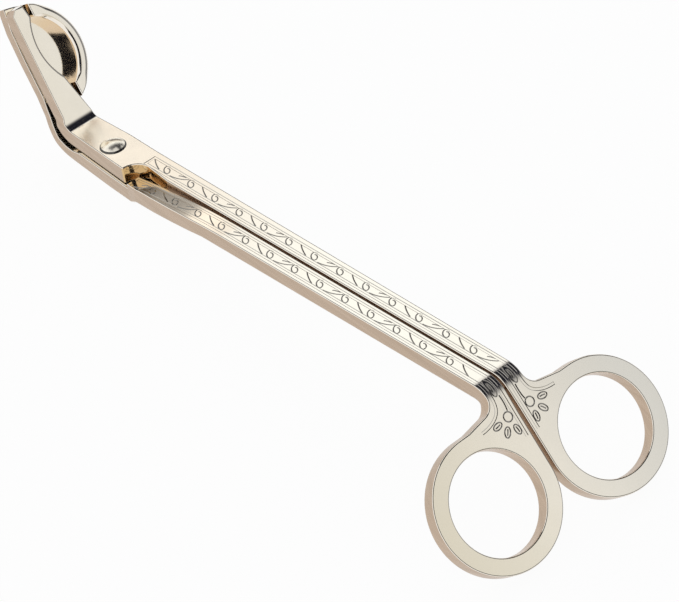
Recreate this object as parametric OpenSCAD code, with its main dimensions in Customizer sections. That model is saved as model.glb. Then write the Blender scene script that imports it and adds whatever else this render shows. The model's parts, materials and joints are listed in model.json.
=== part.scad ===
// Wick trimmer: two crossed bar levers with finger loops, a folded-up blade head over a
// rimmed catching tray, held by one domed rivet. Millimetres, +Z up, lying at rest on its back.

/* [Bar stock] */
// thickness of the bar that both levers are made from
bar_t = 4.2; // [3:0.1:5]
// inside radius of the loop folds
fold_r = 1.0; // [0.5:0.1:3]
// inside radius of the fold under the blade
blade_fold_r = 2.4; // [1:0.1:4]
// inside radius of the fold under the tray
tray_fold_r = 6; // [2:0.1:8]

/* [Shanks] */
// length from the rivet to the start of the loop folds
shank_len = 125.5; // [90:0.5:160]
// half width of the closed pair of shanks beside the rivet
root_w = 6.1; // [4.5:0.1:8]
// half width of the closed pair of shanks at the loop fold
end_w = 5.1; // [4:0.1:7]
// clear gap between the two closed shanks
shank_gap = 0.5; // [0.3:0.1:1.5]
// distance behind the rivet where the tray lever steps up out of the crossing
step_x = 10; // [9.5:0.1:12]
// depth of the tray lever's face below the blade lever's face at that step
step_drop = 2.2; // [1:0.1:3.5]
// distance behind the rivet where that face starts its final rise
rise_x = 24; // [18:0.5:28]
// depth of the face there
rise_drop = 1.4; // [0.5:0.1:2]
// distance behind the rivet where the two faces are level
level_x = 34; // [28:0.5:40]

/* [Pivot] */
// sideways offset of the rivet from the line between the shanks
pivot_y = 1.0; // [0:0.1:2]
// clearance between the two levers where they cross
lap_gap = 0.3; // [0.2:0.05:0.6]
// width of the blade lever on the far side of the rivet
plate_w = 6.4; // [5.5:0.1:8]
// depth of the blade lever on the tray lever side of the rivet
plate_d = 3.2; // [2.5:0.1:4]
// depth of the tray lever on the same side
tray_plate_d = 3.6; // [3:0.1:5]
// distance from the rivet to the shoulder of the blade lever
shoulder_x = 8.1; // [7:0.1:10]
// radius of the scoop behind the shoulder
scoop_r = 4.1; // [3:0.1:5]
// radius of the relief at the crossing edge of the tray lever
relief_r = 6; // [4:0.5:8]

/* [Rivet] */
// radius of the rivet's shank
rivet_r = 1.9; // [1.5:0.1:2.5]
// running clearance of the blade lever's bore on the rivet, on the radius
rivet_play = 0.05; // [0.02:0.01:0.1]
// radius of the domed head
dome_r = 3.1; // [2.6:0.1:4]
// height of the domed head above its rim
dome_h = 0.9; // [0.5:0.1:1.5]
// height of the straight rim under the dome
dome_rim = 0.2; // [0.1:0.05:0.4]
// radius of the formed tail at the back
tail_r = 2.7; // [2.3:0.1:3.5]
// height of the formed tail
tail_h = 0.6; // [0.4:0.1:1]

/* [Finger loops] */
// angle by which the loops fold back from the shanks
loop_bend = 51; // [30:1:60]
// distance from the end of the fold to the loop centre
loop_c = 18.3; // [16:0.1:24]
// outer radius of a finger loop
loop_ro = 15; // [13:0.1:18]
// radius of the finger hole
loop_ri = 11.1; // [9:0.1:14]
// chamfer around the finger hole
hole_ch = 0.35; // [0.2:0.05:0.6]
// clear gap between the two closed loops
loop_gap = 0.8; // [0.5:0.1:2]
// lean of the shoulder where the shank flares into the loop
neck_lean = 10; // [0:1:20]
// radius of the fillet at the foot of that shoulder
neck_r = 3.2; // [2:0.1:5]

/* [Head] */
// angle by which the head folds up from the shanks
head_bend = 60; // [45:1:70]
// distance from the rivet to the start of the blade's fold
head_x = 11.7; // [11:0.1:15]
// width of the blade's neck at the fold, to the far side of the centre line
neck_w = 6.1; // [5:0.1:7]
// width of the blade's neck at the fold, to the near side
neck_d = 1.9; // [1:0.1:3]
// length of the blade from the end of its fold
blade_len = 28.4; // [24:0.1:34]
// width of the blade's square tip
tip_w = 2.4; // [1.5:0.1:4]
// distance across the head from the centre line to the near corner of the tip
tip_y = 0.6; // [0:0.1:2]
// radius of the hollow cutting edge
cut_r = 15; // [12:0.1:20]
// distance from the blade's tip back to the middle of the cutting edge
cut_back = 10.5; // [8:0.1:14]
// centre of the cutting edge's arc across the head
cut_y = 16.6; // [15:0.1:18]

/* [Tray] */
// outer radius of the round tray
tray_ro = 13.6; // [11:0.1:16]
// inner radius of the raised rim
tray_ri = 10.7; // [9:0.1:13]
// distance from the blade's tip back to the tray centre
tray_back = 12.8; // [11:0.1:15]
// offset of the tray centre to the blade's cutting side
tray_off = 1; // [0:0.1:2]
// thickness of the tray floor
floor_t = 3; // [2:0.1:4]
// height of the rim's near end above the centre line
rim_y0 = 5.7; // [5:0.1:8]
// height of the rim's far end above the centre line
rim_y1 = 4.2; // [3.8:0.1:8]
// near side of the tray's neck
tray_neck_d = 2.3; // [1.5:0.1:4]
// distance along the head where the neck meets the flat floor
kick_h = 7.6; // [6:0.1:10]
// extra angle of the tray's neck, which clears the blade's neck
kick = 4.6; // [2:0.1:6]

/* [Hidden] */
$fn = 96;
eps = 1;
// how far a fold runs into its straights, in degrees, and how far it stays under their faces
fold_lap = 1;
skin = 0.01;
loop_y = loop_ro + loop_gap/2;
loop_r = fold_r + bar_t;
lap_z = -bar_t - lap_gap;
back_z = lap_z - bar_t;
floor_z = lap_z - floor_t;
tray_x = blade_len - tray_back;
cut_x = blade_len - cut_back;
neck_bend = head_bend + kick;
// fold of the tray's neck, found from where the neck meets the floor
kick_pt = head_pt(kick_h, lap_z);
neck_run = (kick_pt.y - lap_z)/sin(neck_bend);
tray_tan = tray_fold_r*tan(neck_bend/2);
tray_fold_x = kick_pt.x + neck_run*cos(neck_bend) + tray_tan;
neck_len = neck_run - tray_tan;
thin_run = (bar_t - floor_t*cos(kick))/sin(kick);
tip_h = tray_x + tray_ro;
// far lower corner of the loops, and the line from it that touches the heel of the fold
foot = loop_pt(loop_c + loop_ro, -bar_t);
heel = [tray_fold_x, lap_z + tray_fold_r];
heel_r = tray_fold_r + bar_t;
tilt = atan2(foot.y - heel.y, foot.x - heel.x) + asin(heel_r/norm(foot - heel));
lift = foot.x*sin(tilt) - foot.y*cos(tilt);
// middle of the length, between the far edges of the loops and of the tray
far = loop_pt(loop_c + loop_ro, 0);
near = head_pt(tip_h, floor_z);
mid_x = ((far.x + near.x)*cos(tilt) + (far.y + near.y)*sin(tilt))/2;
champagne = [0.86, 0.80, 0.70];
steel = [0.80, 0.77, 0.72];

// side view point of the head: h along it from the end of the fold, z out of its front face
function head_pt(h, z) = [
  -head_x - h*cos(head_bend) + (z - blade_fold_r)*sin(head_bend),
  blade_fold_r + h*sin(head_bend) + (z - blade_fold_r)*cos(head_bend)
];

// side view point of the loops: u along them from the end of the fold, z out of their front face
function loop_pt(u, z) = [
  shank_len + u*cos(loop_bend) + (z + loop_r)*sin(loop_bend),
  (z + loop_r)*cos(loop_bend) - u*sin(loop_bend) - loop_r
];

// lays the tool on its back with the length centred on the origin
module at_rest() {
  translate([-mid_x, 0, lift])
    rotate([0, tilt, 0])
      children();
}

// frame of a part folded up at x: along it from the end of the fold, z out of its front face
module folded_up(x, z, r, bend) {
  translate([-x, 0, z + r])
    rotate([0, bend, 0])
      mirror([1, 0, 0])
        translate([0, 0, -r])
          children();
}

module head_frame() {
  folded_up(head_x, 0, blade_fold_r, head_bend)
    children();
}

// frame of the loops: x along them from the end of the fold, z out of their front face
module loop_frame() {
  translate([shank_len, 0, -loop_r])
    rotate([0, loop_bend, 0])
      translate([0, 0, loop_r])
        children();
}

// stands a side view up across the whole width of the tool
module side_slab() {
  rotate([90, 0, 0])
    translate([0, 0, -25])
      linear_extrude(60)
        children();
}

// bar stock bent about the y axis, from y0 to y1, with its ends let into the straights beside it
module fold(r, from, bend, y0, y1) {
  rotate([90, 0, 0])
    rotate([0, 0, from - fold_lap])
      rotate_extrude(angle = bend + 2*fold_lap)
        translate([r + skin, skin - y1])
          square([bar_t - 2*skin, y1 - y0 - 2*skin]);
}

// outline of one finger loop and its neck, on the far side of the split
module loop_outline() {
  shoulder_u = loop_c - loop_ro;
  shoulder_y = loop_y - 2.6;
  fillet_y = end_w + neck_r;
  fillet_u = shoulder_u - (shoulder_y - fillet_y)*tan(neck_lean) - neck_r/cos(neck_lean);
  lean_u = fillet_u + neck_r*cos(neck_lean);
  lean_y = fillet_y - neck_r*sin(neck_lean);
  difference() {
    union() {
      translate([loop_c, loop_y])
        circle(r = loop_ro);
      polygon([
        [0, shank_gap/2],
        [5.5, loop_gap/2],
        [loop_c, loop_gap/2],
        [loop_c, loop_y],
        [shoulder_u, loop_y],
        [shoulder_u, shoulder_y],
        [lean_u, lean_y],
        [0, fillet_y]
      ]);
    }
    translate([fillet_u, fillet_y])
      circle(r = neck_r + 5*skin);
    translate([loop_c, loop_y])
      circle(r = loop_ri);
  }
}

// eased edge of a finger hole, as a cutter for one face
module hole_easing() {
  translate([loop_c, loop_y, 0])
    rotate_extrude()
      polygon([
        [loop_ri - eps, eps],
        [loop_ri + hole_ch + eps, eps],
        [loop_ri - eps, -hole_ch - eps]
      ]);
}

// one finger loop with its fold
module loop_end() {
  translate([shank_len, 0, -loop_r])
    fold(fold_r, 90 - loop_bend, loop_bend, shank_gap/2, end_w);
  loop_frame()
    difference() {
      translate([0, 0, -bar_t])
        linear_extrude(bar_t)
          loop_outline();
      hole_easing();
      translate([0, 0, -bar_t])
        mirror([0, 0, 1])
          hole_easing();
    }
}

// plan of the blade lever between its two folds
module blade_plan() {
  scoop_x = shoulder_x + scoop_r + 0.4;
  scoop_y = 0.1 - plate_d;
  difference() {
    polygon([
      [-head_x, -neck_d],
      [shoulder_x, -plate_d],
      [scoop_x, -plate_d],
      [scoop_x, scoop_y + scoop_r],
      [20, shank_gap/2],
      [shank_len, shank_gap/2],
      [shank_len, end_w],
      [step_x, root_w],
      [0, plate_w],
      [-head_x, neck_w]
    ]);
    translate([scoop_x, scoop_y])
      circle(r = scoop_r);
    translate([0, pivot_y])
      circle(r = rivet_r + rivet_play);
  }
}

// outline of the blade with its hollow cutting edge
module blade_outline() {
  difference() {
    polygon([
      [0, -neck_d],
      [1.6, -1.4],
      [blade_len - 1.2, -0.6],
      [blade_len, tip_y],
      [blade_len, tip_y + tip_w],
      [blade_len - 3.2, 3.5],
      [9.6, 4.15],
      [0, neck_w]
    ]);
    translate([cut_x, cut_y])
      circle(r = cut_r);
  }
}

module blade_lever() {
  color(champagne)
    at_rest() {
      translate([0, 0, -bar_t])
        linear_extrude(bar_t)
          blade_plan();
      loop_end();
      translate([-head_x, 0, blade_fold_r])
        fold(blade_fold_r, 270 - head_bend, head_bend, -neck_d, neck_w);
      head_frame()
        translate([0, 0, -bar_t])
          linear_extrude(bar_t)
            blade_outline();
    }
}

// plan of the tray lever between its two folds
module tray_plan() {
  relief_x = step_x + 3.5;
  difference() {
    polygon([
      [tray_fold_x, -tray_neck_d],
      [2, -tray_plate_d],
      [step_x, -tray_plate_d],
      [step_x + 3, -4.7],
      [level_x, 0.6 - root_w],
      [shank_len, -end_w],
      [shank_len, -shank_gap/2],
      [relief_x, -shank_gap/2],
      [relief_x, neck_w],
      [tray_fold_x, neck_w]
    ]);
    translate([relief_x, relief_r - shank_gap/2 - 0.1])
      circle(r = relief_r);
    translate([0, pivot_y])
      circle(r = rivet_r);
  }
}

// side view of the tray lever: under the other lever at the rivet, then level with it
module tray_side() {
  polygon([
    [tray_fold_x, lap_z],
    [step_x, lap_z],
    [step_x, -step_drop],
    [rise_x, -rise_drop],
    [level_x, 0],
    [shank_len, 0],
    [shank_len, -bar_t],
    [level_x + 4, -bar_t],
    [step_x + 3, back_z + 1.5],
    [step_x, back_z],
    [tray_fold_x, back_z]
  ]);
}

// side view of the tray's neck and floor, in the frame of the neck
module floor_side() {
  far_run = 40;
  polygon([
    [0, 0],
    [neck_len, 0],
    [neck_len + far_run*cos(kick), -far_run*sin(kick)],
    [neck_len + far_run*cos(kick) - floor_t*sin(kick), -far_run*sin(kick) - floor_t*cos(kick)],
    [neck_len + thin_run*cos(kick) - floor_t*sin(kick), -bar_t],
    [0, -bar_t]
  ]);
}

// outline of the round tray and its neck
module tray_outline() {
  intersection() {
    union() {
      translate([tray_x, -tray_off])
        circle(r = tray_ro - skin);
      polygon([
        [-9, -6],
        [tray_x - 3, -6],
        [tray_x - 3, 4.8],
        [3.6, 5.3],
        [-2.4, neck_w],
        [-9, neck_w]
      ]);
    }
    polygon([
      [-9, -tray_neck_d],
      [-2.4, -tray_neck_d],
      [2.6, -1.5],
      [tray_x + 1, -1.1],
      [tray_x + 8, -0.7],
      [tip_h + eps, 0.4],
      [tip_h + eps, 20],
      [-9, 20]
    ]);
  }
}

// raised rim of the tray, open where the blade passes
module rim_outline() {
  intersection() {
    difference() {
      translate([tray_x, -tray_off])
        circle(r = tray_ro);
      translate([tray_x, -tray_off])
        circle(r = tray_ri);
    }
    polygon([
      [-2, rim_y0],
      [tray_x - 3.6, rim_y0],
      [tray_x + 4.4, rim_y1],
      [tip_h + eps, rim_y1],
      [tip_h + eps, 20],
      [-2, 20]
    ]);
  }
}

module tray_lever() {
  color(champagne)
    at_rest() {
      difference() {
        intersection() {
          side_slab()
            tray_side();
          translate([0, 0, -12])
            linear_extrude(14)
              tray_plan();
        }
        translate([step_x - eps, -shank_gap/2, lap_z])
          cube([8, 12, 6]);
      }
      mirror([0, 1, 0])
        loop_end();
      translate([tray_fold_x, 0, lap_z + tray_fold_r])
        fold(tray_fold_r, 270 - neck_bend, neck_bend, -tray_neck_d, neck_w);
      intersection() {
        folded_up(-tray_fold_x, lap_z, tray_fold_r, neck_bend)
          side_slab()
            floor_side();
        head_frame()
          translate([0, 0, -16])
            linear_extrude(16)
              tray_outline();
      }
      head_frame()
        translate([0, 0, lap_z - eps])
          linear_extrude(eps - lap_z)
            rim_outline();
    }
}

module pivot_rivet() {
  cap_r = (dome_r*dome_r + dome_h*dome_h)/(2*dome_h);
  color(steel)
    at_rest()
      translate([0, pivot_y, 0]) {
        translate([0, 0, back_z - tail_h])
          cylinder(r = tail_r, h = tail_h);
        translate([0, 0, back_z - tail_h/2])
          cylinder(r = rivet_r, h = tail_h/2 - back_z + dome_rim/2);
        cylinder(r = dome_r, h = dome_rim);
        intersection() {
          translate([0, 0, dome_rim + dome_h - cap_r])
            sphere(r = cap_r);
          translate([0, 0, dome_rim/2])
            cylinder(r = dome_r, h = dome_h + eps);
        }
      }
}

blade_lever();
tray_lever();
pivot_rivet();
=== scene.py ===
"""Wick trimmer: two engraved levers with finger loops, a blade over a rimmed tray and one rivet."""

import contextlib
import functools
import json
import math

import bmesh
import bpy
from bpy.props import FloatProperty, FloatVectorProperty, PointerProperty
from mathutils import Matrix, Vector
from mathutils.geometry import tessellate_polygon


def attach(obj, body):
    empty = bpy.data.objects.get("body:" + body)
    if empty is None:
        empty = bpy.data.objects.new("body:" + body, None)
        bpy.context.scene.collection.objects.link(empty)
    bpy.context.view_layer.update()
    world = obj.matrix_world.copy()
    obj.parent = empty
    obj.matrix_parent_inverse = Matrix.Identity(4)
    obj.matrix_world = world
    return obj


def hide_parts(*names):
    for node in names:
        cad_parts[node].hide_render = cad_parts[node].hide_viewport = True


bl_info = {
    "name": "Wick trimmer",
    "version": (1, 0, 0),
    "blender": (4, 5, 0),
    "location": "3D View > Sidebar > Trimmer",
    "description": "Builds an engraved wick trimmer with a folding joint",
    "category": "Add Mesh",
}

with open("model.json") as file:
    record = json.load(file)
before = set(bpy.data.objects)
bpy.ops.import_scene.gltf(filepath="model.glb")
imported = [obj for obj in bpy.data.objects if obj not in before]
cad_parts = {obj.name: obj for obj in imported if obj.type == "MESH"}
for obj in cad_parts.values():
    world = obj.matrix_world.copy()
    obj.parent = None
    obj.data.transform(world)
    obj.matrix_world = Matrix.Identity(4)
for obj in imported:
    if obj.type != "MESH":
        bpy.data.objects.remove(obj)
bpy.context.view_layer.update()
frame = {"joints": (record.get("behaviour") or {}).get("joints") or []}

# The levers are laid out flat in millimetres: s along the bar from the rivet towards the loops,
# y across it, z out of its front face. Folding takes that layout to the standing bar, and
# standing() lays it on its back.
MM = 0.001
SPREAD = 1.5  # length of each fold's curve beside that of an even fold
CUT_FROM = 11.2  # place where the blade lever's engraving starts
LEVEL_FROM = 46  # place from which the tray lever's face is level with the blade lever's
FLOWER_LEAD = 2.48  # how far before the flat loop the flower's own layout starts
PIVOT = frame["joints"][0]
TILT = math.atan2(PIVOT["axis"][0], PIVOT["axis"][2])

# A lever's finishes and their places in its list. The sides and the lines are darker copies of the
# plating: painted shade. The last place is for the polish in the blade lever's scoop or on the
# tray's wall, a darker, warmer copy of the plating: painted shade on a real polish.
FINISHES = ("pale_gold_plating", "satin_gold_sides", "bright_edges", "engraved_lines")
PLATED, SHADED_SATIN, BRIGHT, SHADED_LINE, POLISHED_SHADED = range(5)

ARCH = 1.2  # radius of the arch of studio cards, in metres
GLOW = 1.3  # the most that a card can glow


def size(label, about, default):
    return FloatProperty(name=label, description=about, default=default)


def colour(label, about, default):
    return FloatVectorProperty(name=label, description=about, default=default, subtype="COLOR")


class BarSizes(bpy.types.PropertyGroup):
    """Sizes of the bar stock and of its folds, in millimetres."""

    thick: size("Thickness", "Thickness of the bar", 4.2)
    shank: size("Shank", "Rivet to the start of the loop folds", 125.5)
    root: size("Root", "Half width of the closed shanks at the rivet", 6.1)
    end: size("End", "Half width of the closed shanks at the loops", 5.1)
    gap: size("Gap", "Clear gap between the closed shanks", 0.5)
    rivet_y: size("Rivet offset", "Rivet to the middle line", 1.0)
    loop_fold: size("Loop fold", "Front radius of the loop folds", 5.2)
    loop_bend: size("Loop bend", "Angle of the loop folds", 51.0)
    head: size("Head", "Rivet to the start of the blade's fold", 11.7)
    head_fold: size("Blade fold", "Front radius of the blade's fold", 2.4)
    head_bend: size("Head bend", "Angle of the blade's fold", 60.0)
    lap: size("Lap", "Depth of the tray lever's face at the rivet", 4.5)
    step: size("Step", "Rivet to the step of the tray lever", 10.0)
    front_ease: size("Front easing", "Rounding of the front edges", 0.3)
    back_round: size("Back rounding", "Rounding of the back edges", 0.95)


class LoopSizes(bpy.types.PropertyGroup):
    """Sizes of the finger loops, in millimetres."""

    centre: size("Centre", "End of the fold to the loop's centre", 18.3)
    outer: size("Outer radius", "Outer radius of a loop", 15.0)
    inner: size("Hole radius", "Radius of the finger hole", 11.1)
    gap: size("Loop gap", "Clear gap between the closed loops", 0.8)
    fillet: size("Neck fillet", "Radius where the shank flares out", 3.2)
    lean: size("Neck lean", "Lean of the neck's shoulder in degrees", 10.0)


class TraySizes(bpy.types.PropertyGroup):
    """Sizes of the tray and its neck, in millimetres."""

    centre: size("Centre", "End of the blade's fold to the tray's centre", 15.6)
    offset: size("Offset", "Tray centre to the middle line", 1.0)
    outer: size("Outer radius", "Outer radius of the tray", 13.6)
    inner: size("Inner radius", "Inner radius of the rim", 10.7)
    floor: size("Floor", "Thickness of the tray's floor", 3.0)
    fold: size("Fold", "Front radius of the fold under the tray", 6.0)
    fold_x: size("Fold place", "Rivet to the start of that fold", 12.91)
    kick: size("Kick", "Extra angle of the tray's neck", 4.6)
    kick_h: size("Kick place", "Where the neck meets the floor", 7.6)
    neck: size("Neck", "Length of the neck between fold and floor", 7.3)


class EngravingSizes(bpy.types.PropertyGroup):
    """Sizes of the engraved borders, vine and flowers, in millimetres."""

    border: size("Border width", "Width of the border channels", 0.75)
    border_depth: size("Border depth", "Depth of the border channels", 0.06)
    border_wall: size("Border wall", "Width of a channel's sloping wall", 0.15)
    inner_y: size("Inner border", "Middle line to the inner border", 1.45)
    outer_y: size("Outer border", "Middle line to the outer border", 4.15)
    line: size("Line width", "Width of the engraved lines", 0.32)
    line_depth: size("Line depth", "Depth of the engraved lines", 0.09)
    curl: size("Curl", "Radius of a curl of the vine", 1.1)


class TrimmerLooks(bpy.types.PropertyGroup):
    """Colours of the metal and of the floor. The sides and the engraved lines are darker than the
    plating: painted shade.
    """

    plate: colour("Plating", "Colour of the pale gold plating", (0.89, 0.84, 0.765))
    # Darker than the plating: painted shade on the sides, which are the same plated metal.
    side: colour("Sides", "Colour of the satin sides of the bars", (0.53, 0.41, 0.31))
    # Dark colour in the engraved lines and along the front edges: painted shade.
    painted_recess_shade: colour("Engraved lines", "Colour down in the engraved lines", (0.25, 0.24, 0.225))
    steel: colour("Rivet", "Colour of the rivet's plating", (0.95, 0.9, 0.8))
    floor: colour("Floor", "Colour of the floor", (0.9, 0.9, 0.9))


def group(name):
    """A function that gives one group of the scene's properties."""
    return lambda: getattr(bpy.context.scene, "trimmer_" + name)


bar, loops, tray, engraving, looks = map(group, ("bar", "loops", "tray", "engraving", "looks"))


# ---- folding the flat layout


def standing(x, y, z):
    """A point of the upright tool, in millimetres from the rivet, laid on its back in the shared
    frame, in metres."""
    b = bar()
    c, s = math.cos(TILT), math.sin(TILT)
    x0 = PIVOT["pos_m"][0] + b.lap / 2 * MM * s
    z0 = PIVOT["pos_m"][2] + b.lap / 2 * MM * c
    return Vector((x0 + (x * c + z * s) * MM, y * MM, z0 + (z * c - x * s) * MM))


def loop_start():
    """Place along the flat layout where the fold ends and the flat loop starts."""
    return bar().shank + bar().loop_fold * math.radians(bar().loop_bend)


def head_start():
    """Place along the flat layout where the blade's fold ends."""
    return -bar().head - bar().head_fold * math.radians(bar().head_bend)


@functools.cache
def bend_curve(fold, bend):
    """The curve of a fold that tightens and eases off again: how far from the corner it starts,
    and its points, each by its distance ahead of the corner and aside from the flat bar."""
    parts, spread = 60, SPREAD * fold * bend
    angles = [bend * ease((i + 0.5) / parts) for i in range(parts)]
    ahead = -spread / parts * sum(math.sin(a) for a in angles) / math.sin(bend)
    reach, aside = -ahead, 0.0
    points = [(ahead, aside)]
    for a in angles:
        ahead, aside = ahead + math.cos(a) * spread / parts, aside + math.sin(a) * spread / parts
        points.append((ahead, aside))
    return reach, points


def bend_places(start, fold, degrees, n):
    """Places of n edges of a fold, which would start at start if it curved evenly."""
    bend = math.radians(degrees)
    reach, tangent = bend_curve(fold, bend)[0], fold * math.tan(bend / 2)
    return steps(start + tangent - reach, start + fold * bend - tangent + reach, n)


def bent(s, start, fold, degrees):
    """Side view of a fold at start: how far on and aside the place s goes, and its angle."""
    bend = math.radians(degrees)
    (reach, points), tangent = bend_curve(fold, bend), fold * math.tan(bend / 2)
    short = 2 * tangent - fold * bend
    ahead = s - start - tangent
    if ahead <= -reach:
        return s, 0.0, 0.0
    if ahead + short >= reach:
        u = ahead + short
        return start + tangent + u * math.cos(bend), u * math.sin(bend), bend
    t = (ahead + reach) / (2 * reach - short)
    k = min(int(t * (len(points) - 1)), len(points) - 2)
    w = t * (len(points) - 1) - k
    (x0, y0), (x1, y1) = points[k], points[k + 1]
    return start + tangent + x0 + (x1 - x0) * w, y0 + (y1 - y0) * w, bend * ease(t)


def fold_back(s, z):
    """Side view of the shank and of the loop that folds back from it."""
    b = bar()
    x, drop, a = bent(s, b.shank, b.loop_fold, b.loop_bend)
    return x + z * math.sin(a), z * math.cos(a) - drop


def fold_up(s, z, start, height, r, bend):
    """Side view of a head that folds up from height, beyond start on the far side of the rivet."""
    x, rise, a = bent(-s, start, r, bend)
    return z * math.sin(a) - x, height + rise + z * math.cos(a)


def blade_fold(p):
    """Folds a point of the flat blade lever."""
    b = bar()
    if p.x < 0:
        x, z = fold_up(p.x, p.z, b.head, 0.0, b.head_fold, b.head_bend)
    else:
        x, z = fold_back(p.x, p.z)
    return standing(x, p.y, z)


def between(v, points):
    """Value at v on a line through the points."""
    (x0, y0), *rest = points
    if v <= x0:
        return y0
    for x1, y1 in rest:
        if v <= x1:
            return y0 + (y1 - y0) * (v - x0) / (x1 - x0)
        x0, y0 = x1, y1
    return y0


def eased(v, points):
    """Value at v on a smooth curve through the points."""
    lo = max(points[0][0], min(points[-1][0], v))
    reach, half = 1.6, 4
    around = range(-half, half + 1)
    return sum(between(lo + reach * k / half, points) for k in around) / len(around)


def ease(t):
    """Runs from 0 to 1 with soft ends as t does."""
    t = max(0.0, min(1.0, t))
    return t * t * (3 - 2 * t)


def face_depth(s):
    """Depth of the tray lever's front face behind its shank's, as it rises out of the crossing."""
    rise = [(bar().step, -3.2), (17, -2.1), (20, -1.74), (30, -0.78), (34, -0.45)]
    return eased(s, rise + [(38, -0.22), (42, -0.08), (LEVEL_FROM, 0)])


def back_depth(s):
    """Depth of its back face, which rises from under the crossing to the level of the shanks."""
    b = bar()
    step_up = 1.5
    rise = [(b.step, -b.lap - b.thick), (b.step + 3, step_up - b.lap - b.thick)]
    return between(s, rise + [(b.step + 28, -b.thick)])


def shank_fold(p):
    """Folds a point of the flat tray lever behind the step."""
    b = bar()
    flat = b.thick - b.front_ease - b.back_round
    w = max(0.0, min(1.0, (-p.z - b.front_ease) / flat))
    z = (face_depth(p.x) + p.z) * (1 - w) + (back_depth(p.x) + p.z + b.thick) * w
    x, z = fold_back(p.x, z if p.x < b.shank else p.z)
    return standing(x, p.y, z)


def tray_neck_end():
    """Place along the flat layout where the neck ends and the tray's floor starts."""
    t = tray()
    return -t.fold_x - t.fold * math.radians(bar().head_bend + t.kick) - t.neck


def floor_place(h):
    """Place along the flat layout of a point h along the head."""
    return tray_neck_end() + tray().kick_h - h


def on_floor(h, y, z):
    """A point above the tray's floor: h along the head, z from the blade's front face."""
    b = bar()
    a = math.radians(b.head_bend)
    z -= b.head_fold
    x = -b.head - h * math.cos(a) + z * math.sin(a)
    return x, y, b.head_fold + h * math.sin(a) + z * math.cos(a)


def neck_fold(p):
    """Folds a point of the flat tray lever in front of the step: under the blade lever, then up
    the neck, which thins and is hollow in front, and along the floor."""
    b, t, end = bar(), tray(), tray_neck_end()
    front = p.z > -b.thick / 2
    if p.x > 0:
        sunk, slack = back_depth(p.x) + b.lap, 0.02
        return standing(p.x, p.y, (p.z if front else sunk + p.z + b.thick + slack) - b.lap)
    z = p.z * between(-p.x, [(0, 1), (t.fold_x, 0.9), (-end, t.floor / b.thick)])
    if front:
        deep, start, onset, fade = 0.7, 9, 4, 5
        z -= deep * ease((-p.x - start) / onset) * ease((p.x - end) / fade)
    x, up = fold_up(p.x, z, t.fold_x, -b.lap, t.fold, b.head_bend + t.kick)
    blend = 3
    w = ease((end - p.x) / blend + 0.5)
    if w > 0:
        fx, _, fz = on_floor(t.kick_h + end - p.x, p.y, z - b.lap)
        x, up = x * (1 - w) + fx * w, up * (1 - w) + fz * w
    return standing(x, p.y, up)


def rim_fold(p):
    """Stands a point of the tray's rim on its floor."""
    return standing(*on_floor(*p))


# ---- flat outlines


def arc(cx, cy, r, start, end, step=3.0):
    """Points on an arc from one angle to another, in degrees."""
    n = max(2, math.ceil(abs(end - start) / step))
    turns = [math.radians(start + (end - start) * i / n) for i in range(n + 1)]
    return [(cx + r * math.cos(a), cy + r * math.sin(a)) for a in turns]


def ring_centre():
    """Middle of the blade lever's loop in the flat layout."""
    return loop_start() + loops().centre, loops().outer + loops().gap / 2


def loop_outline():
    """One finger loop and its neck, from the split between the levers to the shank's outer edge."""
    b, o = bar(), loops()
    cx, cy = ring_centre()
    lean = math.radians(o.lean)
    shoulder, shoulder_y = cx - o.outer, cy - 2.6
    fillet_y = b.end + o.fillet
    fillet_x = shoulder - (shoulder_y - fillet_y) * math.tan(lean) - o.fillet / math.cos(lean)
    path = [(loop_start(), b.gap / 2), (loop_start() + 5.5, o.gap / 2)]
    path += arc(cx, cy, o.outer, -90, 180, 2.5) + [(shoulder, shoulder_y)]
    return path + arc(fillet_x, fillet_y, o.fillet, -o.lean, -90, 5)


def blade_outline():
    """The whole blade lever, round from the blade's tip."""
    b, h0, tip = bar(), head_start(), 28.4
    lower = [(h0 - h, y) for h, y in ((tip, 0.6), (27.2, -0.6), (1.6, -1.4), (0.2, -1.9))]
    lower += [(-b.head, -1.9), (8.1, -3.2)]
    scoop = arc(12.6, -3.1, 4.1, 178.6, 90, 6) + [(20, b.gap / 2)]
    upper = [(b.step, b.root), (0, b.root + 0.3), (-b.head, b.root), (h0, b.root)]
    edge = [(h0 - h, y) for h, y in arc(17.9, 16.6, 15.0, 236.4, 299, 4)]
    return lower + scoop + loop_outline() + upper + edge + [(h0 - tip, 3.0)]


def shank_outline():
    """The tray lever behind the step, with its loop on the near side."""
    b = bar()
    side = [(x, -y) for x, y in reversed(loop_outline())]
    root = [(b.step, -3.9), (b.step + 3, -4.35), (20, -4.95), (27, -5.3), (34, 0.6 - b.root)]
    split = -b.gap / 2 - 0.1
    return root + side + [(13.5, split), (b.step, split)]


def neck_outline():
    """The tray lever in front of the step: round floor, neck, fold and the lap behind the rivet."""
    b, t = bar(), tray()
    floor = ((29.15, 0.22), (23.6, -0.7), (16.6, -1.1), (2.6, -1.5), (-2.4, -2.3))
    low = [(floor_place(h), y) for h, y in floor] + [(-t.fold_x, -2.3), (2, -3.35)]
    lap = [(b.step + 0.1, -3.89), (b.step + 2, -4.17), (16.5, -3.6), (16.5, 1.0)]
    relief = arc(18, 7.5, 6, 251, 193.5, 6)
    high = [(-t.fold_x, b.root), (floor_place(-2.4), b.root)]
    dish = arc(t.centre, -t.offset, t.outer - 0.02, 152.4, 5.2, 3)
    return low + lap + relief + high + [(floor_place(h), y) for h, y in dish][:-1]


def rim_outline():
    """The tray's raised rim, open where the blade passes."""
    t = tray()
    outer = arc(t.centre, -t.offset, t.outer, 22.5, 150.5, 3)
    return outer + arc(t.centre, -t.offset, t.inner, 141.2, 29.1, 3)


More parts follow.
